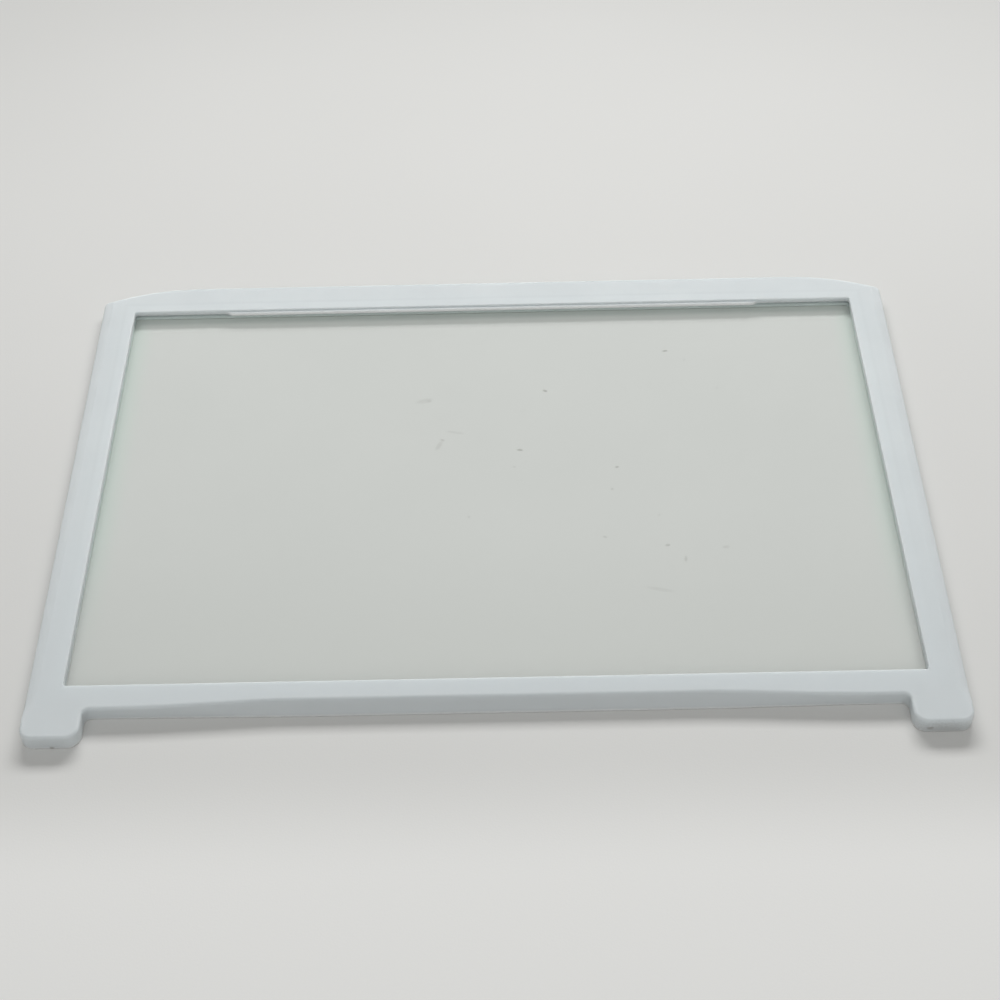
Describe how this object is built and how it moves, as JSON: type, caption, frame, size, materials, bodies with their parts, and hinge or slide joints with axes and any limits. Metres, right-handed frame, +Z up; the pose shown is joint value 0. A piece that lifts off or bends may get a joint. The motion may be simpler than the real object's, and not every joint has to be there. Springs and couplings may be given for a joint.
{
  "type": "refrigerator shelf",
  "caption": "Flat refrigerator shelf: a clear toughened glass pane captive in a white moulded frame with swept rear corners, front corner lugs and a finger scoop.",
  "frame": {"origin": "middle of the overall box, on the plane that the shelf rests on", "axes": "+X across the shelf to its right side seen from the front, +Y from the front rail to the rear rail, +Z up"},
  "size_m": [0.472, 0.34, 0.009],
  "materials": {
    "white_plastic": "satin white, fine moulded grain",
    "clear_glass": "clear toughened glass, faint green"
  },
  "bodies": {
    "root": {"shelf_frame": "white_plastic", "glass_pane": "clear_glass"}
  },
  "joints": []
}
